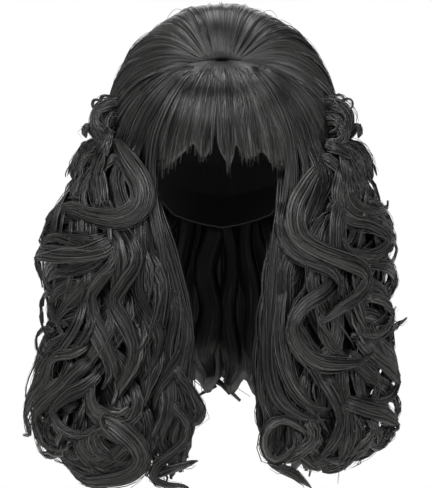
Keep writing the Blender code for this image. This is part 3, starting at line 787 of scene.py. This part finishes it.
def make_front_locks(side, word, look):
    """The smooth locks from the parting down beside the front opening, drawn darker than the rest as
    painted shade beside the face.
    """
    # Painted shade: the smooth front layer is drawn at tone 0.27.
    smooth = {**OUTER, "start": 0.02, "amplitude": 11.0, "spread": 8.0, "thin": 10, "fine": 12,
              "tone": 0.27}
    parts = [under_curtain(side, 0.0, 0.2), front_sheet(side)]
    parts += layer(side, 0.0, 0.2, 8, smooth)
    parts += layer(side, 0.0, 0.2, 5, {**INNER, "amplitude": 8.0})
    parts += layer(side, 0.0, 0.2, 3, LINING)
    # Painted shade: the traced front locks are drawn at a low tone, 0.22.
    parts += traced_locks("front_" + word, shade=0.22)
    hair_piece("front_hair_" + word, parts, look, "front_lock_" + word)


def front_sheet(side):
    """Smooth hair from the parting over the temple: hair radius less fine combed grooves."""
    columns, rows = 80, 26
    headings = np.linspace(FRINGE_HALF_SPREAD_DEG - 4, 91, columns)[None, :]
    down = np.linspace(0, 1, rows)[:, None]
    end = along_to_height(headings, np.sin(np.radians(-14.0)))
    along = CROWN_START_DEG + down * (end - CROWN_START_DEG)
    direction = comb_direction(side * headings + 0 * along, along)
    groove = combed(headings * 1.0, down, 2.2, 0.9, 3)
    radius = hair_radius(direction) - groove
    outer = CENTRE + direction * radius[..., None]
    inner = CENTRE + direction * (radius - 6.0)[..., None]
    across = np.broadcast_to(headings * 1.8, along.shape)
    length = along * 1.8
    # Painted shade: the sheet is drawn darker towards its lower edge, under the temple curls and hanging
    # hair.
    tone = 0.42 - 0.3 * np.clip((down - 0.55) / 0.45, 0, 1) + 0 * along
    if side > 0:
        outer, inner, across = outer[:, ::-1], inner[:, ::-1], across[:, ::-1]
    return shell(outer[:, ::-1], inner[:, ::-1], across[:, ::-1], length, tone)


def combed(across_deg, down, width_deg, depth, seed):
    """Combed relief: sharp-bottomed grooves depth * (1 - |sin|) whose lines wander as they run."""
    own = np.random.default_rng(seed)
    phase = own.uniform(0, 2 * np.pi, 4)
    warp = 0.35 * np.sin(across_deg * 0.31 + phase[0]) + 0.3 * np.sin(across_deg * 0.13 + phase[1])
    wander = 0.5 * np.sin(3.1 * down + across_deg * 0.21 + phase[2])
    wave = np.sin(np.pi * (across_deg / width_deg + warp + wander))
    strength = 0.6 + 0.4 * np.sin(across_deg * 0.57 + phase[3])
    return depth * strength * (1 - np.abs(wave)) ** 1.5


# Painted shade: how much darker the crown and its strands are drawn straight behind the parting, in a
# bell round heading 180.
MIDDLE_PAINTED_SHADE = 0.35


def crown_relief(headings, down, direction):
    """Two sizes of combed folds, deep on the front of the crown and shallow over and behind it."""
    deep = np.clip(0.22 - 1.5 * direction[..., 1], 0.12, 1.0) * np.clip(down / 0.08, 0, 1)
    return (combed(headings, down, 17.0, 5.5, 11) + combed(headings, down, 6.1, 2.4, 12)) * deep


def make_crown(look):
    """Backcombed crown: hair radius less two sizes of combed folds and a tuck at its lower edge, closed
    by an inner wall.
    """
    columns, rows = 260, 40
    headings = np.linspace(89.0, 271.0, columns)[None, :]
    down = np.linspace(0, 1, rows)[:, None]
    along = 1.6 + down * (crown_end_deg(headings) + 7 - 1.6)
    direction = from_seam(comb_direction(headings + 0 * along, along), along)
    relief = crown_relief(headings, down, direction)
    tuck = 16.0 * np.clip((down - 0.9) / 0.1, 0, 1) ** 2
    radius = hair_radius(direction) - relief - tuck
    outer = CENTRE + direction * radius[..., None]
    inner = CENTRE + direction * np.maximum(radius - 9.0, cap_radius(direction) + 0.8)[..., None]
    across = np.broadcast_to(headings * 2.1, along.shape)
    # Painted shade: the crown is drawn darker where its combed folds are deep.
    tone = 0.5 - 0.4 * np.clip(relief / 4.0, 0, 1)
    # Painted shade: darker behind the middle of the parting, fading out a third of the way down.
    tone = tone - MIDDLE_PAINTED_SHADE * np.exp(-(((headings - 180) / 20) ** 2)) * np.clip(1 - down / 0.35, 0, 1)
    part = shell(outer, inner, across, along * 2.1, tone)
    return hair_piece("crown_hair", [part, crown_strands()], look, "crown")


def crown_strands():
    """Fine strands over the crown: each keeps to a comb line and lifts off a little."""
    total, count = 600, 14
    heading = rng.uniform(91, 269, (total, 1))
    begin = rng.uniform(0.0, 0.55, (total, 1))
    end = np.minimum(begin + rng.uniform(0.3, 0.7, (total, 1)), 1.0)
    share = begin + (end - begin) * np.linspace(0, 1, count)
    drift = rng.uniform(0, 6.28, (total, 1)) + share * rng.uniform(2, 5, (total, 1))
    turned = heading + 0.9 * np.sin(drift) * share
    along = CROWN_START_DEG + share * (crown_end_deg(heading) - CROWN_START_DEG)
    direction = from_seam(comb_direction(turned, along), along)
    fly = np.abs(rng.normal(0, 0.7, (total, 1))) * np.sin(np.pi * np.linspace(0, 1, count))
    fly = fly * (1 + 2.0 * (rng.random((total, 1)) < 0.1))
    radius = hair_radius(direction) + fly - crown_relief(turned, share, direction)
    paths = CENTRE + direction * radius[..., None]
    thick, wide = lock_frames(paths, direction)
    sizes = 0.36 * np.sin(np.pi * np.linspace(0.04, 0.96, count))[None, :] + np.zeros((total, 1))
    # Painted shade: strands behind the middle of the parting are drawn darker.
    near = np.exp(-(((heading[:, 0] - 180) / 20) ** 2))
    tone = np.clip(rng.normal(0.62, 0.28, total) - MIDDLE_PAINTED_SHADE * near, 0, 1)
    return tubes(paths, thick, wide, sizes, sizes * 0.7, 3, tone, rng.uniform(0, 400, total))


FRINGE_END_Z = -101.0
FRINGE_END_DROP = 14.0


# The fringe's lower edge, as the photo shows it: how much longer than an even edge it is
FRINGE_EDGE_COLUMNS = ("heading", "longer")
FRINGE_EDGE = (
    (-39.0, -1), (-33.0, 4), (-30.0, 3), (-24.0, -3), (-19.0, -10), (-17.0, -12), (-15.5, -9),
    (-12.0, 2), (-9.0, 3), (-6.5, -4), (-5.2, -12), (-4.6, -38), (-4.0, -38), (-3.4, -12),
    (-1.5, -2), (1.5, 7), (4.0, 13), (6.0, 4), (7.6, -9), (9.0, -6), (10.5, 0), (15.0, 4),
    (19.0, -1), (22.0, -7), (25.0, -4), (29.0, 4), (33.0, 5), (39.0, -1),
)


def fringe_edge(heading_deg):
    """How much longer than an even edge the fringe is at each heading, in mm."""
    headings, longer = np.array(FRINGE_EDGE).T
    return np.interp(heading_deg, headings, longer)


def fringe_end_deg(heading_deg, extra=0.0):
    """Where along each comb line the fringe ends: lower towards its sides."""
    share = np.abs(heading_deg) / FRINGE_HALF_SPREAD_DEG
    end_z = FRINGE_END_Z - FRINGE_END_DROP * share**2 - extra
    reach = FRONT_SIDE_RADIUS + FRINGE_EXTRA
    return along_to_height(heading_deg, (end_z - CENTRE[2]) / reach)


def make_fringe(look):
    """Straight fringe: a combed shell that stops short, and flat tapering strips over it."""
    columns, rows = 120, 24
    headings = np.linspace(-39.0, 39.0, columns)[None, :]
    down = np.linspace(0, 1, rows)[:, None]
    end = fringe_end_deg(headings, fringe_edge(headings) - 4.0)
    along = 1.8 + down * (end - 1.8)
    direction = from_seam(comb_direction(headings + 0 * along, along), along, 0.8)
    relief = combed(headings, down, 5.2, 1.2, 21) * down + combed(headings, down, 1.3, 0.4, 22)
    radius = hair_radius(direction) - relief
    outer = CENTRE + direction * radius[..., None]
    inner = CENTRE + direction * (radius - 2.5)[..., None]
    across = np.broadcast_to(headings * 1.8, along.shape)
    tone = np.full(along.shape, 0.42)
    parts = [shell(outer, inner, across, along * 1.8, tone)]
    parts += fringe_strips()
    hair_piece("fringe_hair", parts, look, "fringe")


FRINGE_WISPS_DEG = np.array([-32.0, -26.5, -11.5, -8.5, 3.5, 12.0, 17.0, 28.5, 33.5])
FRINGE_STRIPS_COLUMNS = ("number", "shortest", "longest", "half_width", "thin", "fine")
FRINGE_STRIPS = (
    (44, -4, 1, 3.4, 5, 6),
    (56, -4, 8, 1.5, 3, 3),
)


def fringe_strips():
    """Strips of the fringe: comb lines that draw together into wisps, pointed at the end.

    Each heading moves towards its nearest wisp's by a share that grows with a power of the way
    down. Broad strips end short, and narrow ones run past them.
    """
    made = []
    for number, low, high, half, thin, fine in FRINGE_STRIPS:
        spread = np.linspace(-37, 37, number) + rng.normal(0, 0.8, number)
        nearest = FRINGE_WISPS_DEG[np.abs(spread[:, None] - FRINGE_WISPS_DEG).argmin(1)]
        end = fringe_end_deg(spread, fringe_edge(spread) + rng.uniform(low, high, number))[:, None]
        begin = rng.uniform(4, 22, number)[:, None]
        share = np.linspace(0, 1, 18)[None, :]
        along = begin + share * (end - begin)
        drawn = 0.3 * np.clip(nearest - spread, -4, 4) + rng.normal(0, 0.5, number)
        turned = spread[:, None] + drawn[:, None] * share**2.5
        direction = from_seam(comb_direction(turned, along), along, 0.8)
        lift = rng.uniform(0.0, 1.4, number)[:, None]
        radius = hair_radius(direction) + lift - 1.4 - 3.0 * np.exp(-share / 0.07)
        paths = CENTRE + direction * radius[..., None]
        # Painted shade: strips in the middle of the fringe are drawn darker, fading towards its sides.
        shade = 0.16 * np.exp(-((spread / 14) ** 2))
        tone = np.clip(rng.normal(0.45, 0.14, number) - shade, 0, 1)
        halves = half * rng.uniform(0.7, 1.2, number)
        made += bundles(paths, direction, halves, 0.2 * halves, tone, thin, fine, 0.4)
    return made


# Small curls that stand out at the temples, traced on the left and mirrored on the right. The
# front view doesn't show how far forward they lie, so y at the root and the tip is given.
TEMPLE_COLUMNS = ("spread", "root_y", "tip_y", "tip", "path")
TEMPLE_CURLS = {
    "upper": (
        (8.0, 2, -14, 0.9, ((130, 98), (117, 102), (107, 111), (104, 125), (106, 139), (114, 150))),
        (7.0, -12, -38, 0.9, ((128, 106), (114, 103), (102, 109), (96, 119), (99, 131), (109, 138))),
        (6.5, -18, -46, 0.9, ((130, 126), (116, 121), (105, 126), (101, 137), (109, 146), (120, 143))),
        (5.0, -8, -32, 0.8, ((122, 140), (107, 139), (95, 134), (89, 127), (86, 131), (88, 139))),
        (4.5, -14, -40, 0.6, ((126, 114), (113, 113), (106, 121), (108, 131), (117, 134))),
        (0.8, -14, -24, 0.8, ((105, 104), (98, 100), (94, 101), (93, 106), (96, 112))),
        (0.8, -10, -22, 0.8, ((112, 96), (104, 96), (101, 100), (104, 105))),
    ),
    "lower": (
        (8.0, 8, -16, 0.9, ((124, 140), (112, 142), (100, 150), (93, 162), (91, 176), (96, 188))),
        (7.0, 2, -32, 0.9, ((126, 147), (111, 145), (97, 149), (88, 157), (83, 167), (83, 178))),
        (6.5, 6, -22, 0.9, ((116, 143), (100, 142), (88, 147), (80, 156), (76, 168), (75, 181))),
        (6.0, -6, -38, 0.7, ((128, 158), (115, 155), (105, 160), (103, 170), (112, 177))),
        (5.5, 2, -26, 0.9, ((118, 151), (104, 152), (95, 160), (92, 171), (96, 182))),
        (0.8, 0, -16, 0.8, ((84, 153), (74, 161), (70, 168), (68, 177))),
        (0.8, 2, -14, 0.8, ((92, 140), (84, 143), (79, 150), (80, 156))),
    ),
}


def make_temple_curls(side, word, look):
    """Small open curls: the traced front view, with y running evenly from root to tip."""
    for name, rows in TEMPLE_CURLS.items():
        parts = []
        for spread, root_y, tip_y, tip, path in rows:
            flat = photo_path(path, 44)
            x = side * np.abs(flat[:, 0])
            y = np.linspace(root_y, tip_y, 44)
            paths = np.stack([x, y, flat[:, 1]], -1)[None]
            parts += traced_bundle(paths, spread, tip, 14, 26, TEMPLE_FACES_FRONT)
        node = "temple_curl_" + name + "_" + word
        hair_piece("temple_hair_" + name + "_" + word, parts, look, node)


# Materials


def add_node(tree, kind, links=(), **settings):
    """Adds a node, sets its properties and input values, and links (input, output socket) pairs."""
    node = tree.nodes.new(kind)
    for key, value in settings.items():
        if key in node.inputs:
            node.inputs[key].default_value = value
        else:
            setattr(node, key, value)
    for name, source in links:
        tree.links.new(source, node.inputs[name])
    return node


def new_material(name):
    """An empty node material, with its tree."""
    made = bpy.data.materials.new(name)
    made.use_nodes = True
    made.node_tree.nodes.clear()
    return made, made.node_tree


def stretched_noise(tree, vector, across_mm, along_mm, detail):
    """Noise drawn out along the fibre: one cell is this many millimetres across and along."""
    scale = (1000.0 / across_mm, 1000.0 / along_mm, 1.0)
    placed = add_node(tree, "ShaderNodeMapping", [("Vector", vector)], Scale=scale)
    return add_node(
        tree,
        "ShaderNodeTexNoise",
        [("Vector", placed.outputs["Vector"])],
        Scale=1.0,
        Detail=detail,
        Roughness=0.6,
    )


FINE_WEIGHT = 1.8


def wig_fibre():
    """Heat-set modacrylic wig fibre, extruded and combed: satin, so each lock shows a soft band
    of light across it, broken into fine streaks along the fibres. Real fibres are 0.07 mm thick;
    the streaks are drawn 0.6 and 2.6 mm wide, as coarse as they need to be to show."""
    made, tree = new_material("modacrylic wig fibre, combed")
    uv = add_node(tree, "ShaderNodeUVMap", uv_map="fibre").outputs["UV"]
    fine = stretched_noise(tree, uv, 0.6, 45.0, 2.0)
    bunch = stretched_noise(tree, uv, 2.6, 90.0, 1.0)
    # The tone attribute carries each lock's own random tone and also painted shade: dark cores and inner
    # hair, deep folds, and darker middles and front locks.
    tone = add_node(tree, "ShaderNodeAttribute", attribute_name="tone")
    blend = add_node(
        tree,
        "ShaderNodeMath",
        [(0, fine.outputs["Fac"]), (2, bunch.outputs["Fac"])],
        operation="MULTIPLY_ADD",
    )
    blend.inputs[1].default_value = FINE_WEIGHT
    streak = add_node(
        tree,
        "ShaderNodeMath",
        [(0, blend.outputs["Value"]), (1, tone.outputs["Fac"])],
        operation="ADD",
    )
    spread = add_node(
        tree,
        "ShaderNodeMapRange",
        [("Value", streak.outputs["Value"])],
        **{"From Min": 1.5, "From Max": 2.55},
    )
    ramp = add_node(tree, "ShaderNodeValToRGB", [("Fac", spread.outputs["Result"])])
    ramp.color_ramp.elements[0].color = hex_colour("#070707")
    ramp.color_ramp.elements[1].color = hex_colour("#494847")
    ridge = add_node(
        tree,
        "ShaderNodeBump",
        [("Height", bunch.outputs["Fac"])],
        Strength=0.7,
        Distance=0.0012,
    )
    hair = add_node(
        tree,
        "ShaderNodeBump",
        [("Height", fine.outputs["Fac"]), ("Normal", ridge.outputs["Normal"])],
        Strength=0.6,
        Distance=0.0004,
    )
    surface = add_node(
        tree,
        "ShaderNodeBsdfPrincipled",
        [("Base Color", ramp.outputs["Color"]), ("Normal", hair.outputs["Normal"])],
        Roughness=0.35,
        IOR=1.5,
        Anisotropic=0.8,
        **{"Specular IOR Level": 0.48},
    )
    across = add_node(tree, "ShaderNodeTangent", direction_type="UV_MAP", uv_map="fibre")
    tree.links.new(across.outputs["Tangent"], surface.inputs["Tangent"])
    add_node(tree, "ShaderNodeOutputMaterial", [("Surface", surface.outputs["BSDF"])])
    return made


def stretch_net():
    """Knitted elastic net of polyamide yarn, black and matt: a cap shows as rows of small holes.
    The holes are 2.5 mm apart, as on a real cap."""
    made, tree = new_material("knitted polyamide stretch net")
    place = add_node(tree, "ShaderNodeTexCoord").outputs["Object"]
    holes = add_node(
        tree,
        "ShaderNodeTexVoronoi",
        [("Vector", place)],
        Scale=1000.0 / 2.5,
        Randomness=0.2,
    )
    ramp = add_node(tree, "ShaderNodeValToRGB", [("Fac", holes.outputs["Distance"])])
    ramp.color_ramp.elements[0].color = hex_colour("#0a0a0b")
    ramp.color_ramp.elements[1].color = hex_colour("#1e1e1f")
    bump = add_node(
        tree,
        "ShaderNodeBump",
        [("Height", holes.outputs["Distance"])],
        Strength=0.6,
        Distance=0.0006,
    )
    surface = add_node(
        tree,
        "ShaderNodeBsdfPrincipled",
        [("Base Color", ramp.outputs["Color"]), ("Normal", bump.outputs["Normal"])],
        Roughness=0.85,
    )
    add_node(tree, "ShaderNodeOutputMaterial", [("Surface", surface.outputs["BSDF"])])
    return made


def plain_paint(name, colour, glow):
    """Matt emulsion, rolled flat and even, lit from behind by this much."""
    made, tree = new_material(name)
    surface = add_node(tree, "ShaderNodeBsdfPrincipled", Roughness=0.9)
    surface.inputs["Base Color"].default_value = hex_colour(colour)
    surface.inputs["Emission Color"].default_value = hex_colour(colour)
    surface.inputs["Emission Strength"].default_value = glow
    add_node(tree, "ShaderNodeOutputMaterial", [("Surface", surface.outputs["BSDF"])])
    return made


# Stage, light and camera

FLOOR_Z = -1.6
SKY_SEEN = 1.0
SKY_LIGHT = 0.3


def make_floor():
    """Round pale floor, 12 m across, as far below the wig as it is when worn."""
    turn = np.arange(64) * 2 * np.pi / 64
    points = np.stack([6.0 * np.cos(turn), 6.0 * np.sin(turn), np.full(64, FLOOR_Z)], -1)
    mesh = bpy.data.meshes.new("floor")
    mesh.from_pydata(points.tolist(), [], [tuple(range(64))])
    mesh.update()
    mesh.materials.append(plain_paint("matt emulsion, rolled", "#f4f3f1", 0.7))
    obj = bpy.data.objects.new("floor", mesh)
    bpy.context.scene.collection.objects.link(obj)


def add_light(name, place, size, power):
    """A square area light aimed at the middle of the wig."""
    lamp = bpy.data.lights.new(name, "AREA")
    lamp.size = size
    lamp.energy = power
    obj = bpy.data.objects.new(name, lamp)
    bpy.context.scene.collection.objects.link(obj)
    away = unit(np.array(place) - np.array([0.0, 0.0, -0.18]))
    across = unit(np.cross([0.0, 0.0, 1.0], away))
    up = np.cross(away, across)
    rows = np.stack([across, up, away], 1).tolist()
    obj.matrix_world = Matrix([[*row, shift] for row, shift in zip(rows, place)] + [[0, 0, 0, 1]])


def make_lights():
    """Soft studio light: a key high in front, a weaker fill, one from above and a white room.

    The room is drawn nearly white, and lights the wig less than that.
    """
    add_light("key", (-0.9, -1.8, 1.3), 1.3, 56)
    add_light("fill", (1.5, -1.8, 0.3), 1.4, 26)
    add_light("top", (0.0, 0.2, 2.0), 1.2, 28)
    add_light("behind", (0.0, 2.4, 1.0), 2.0, 26)
    world = bpy.data.worlds.new("studio")
    world.use_nodes = True
    tree = world.node_tree
    seen = add_node(tree, "ShaderNodeLightPath").outputs["Is Camera Ray"]
    strength = add_node(
        tree,
        "ShaderNodeMapRange",
        [("Value", seen)],
        **{"To Min": SKY_LIGHT, "To Max": SKY_SEEN},
    )
    shade = tree.nodes["Background"]
    shade.inputs["Color"].default_value = hex_colour("#ffffff")
    tree.links.new(strength.outputs["Result"], shade.inputs["Strength"])
    bpy.context.scene.world = world
    bpy.context.scene.view_settings.view_transform = "Standard"


def make_camera():
    """Camera square to the face side, at the photograph's framing."""
    data = bpy.data.cameras.new("camera")
    data.sensor_width = SENSOR
    data.lens = SENSOR * CAMERA_DISTANCE / VIEW_HEIGHT
    data.clip_end = 50.0
    obj = bpy.data.objects.new("camera", data)
    x, y, z = CAMERA_TARGET
    obj.location = (x * MM, (y - CAMERA_DISTANCE) * MM, z * MM)
    obj.rotation_euler = (np.pi / 2, 0.0, 0.0)
    bpy.context.scene.collection.objects.link(obj)
    bpy.context.scene.camera = obj


make_camera()
make_floor()
make_lights()
fibre = wig_fibre()
net = stretch_net()
cap_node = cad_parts["cap"]
for place in range(len(cap_node.material_slots)):
    cap_node.material_slots[place].material = net
make_crown(fibre)
make_fringe(fibre)
for which, label in ((-1, "left"), (1, "right")):
    make_front_locks(which, label, fibre)
    make_curtain(which, label, fibre)
    make_temple_curls(which, label, fibre)
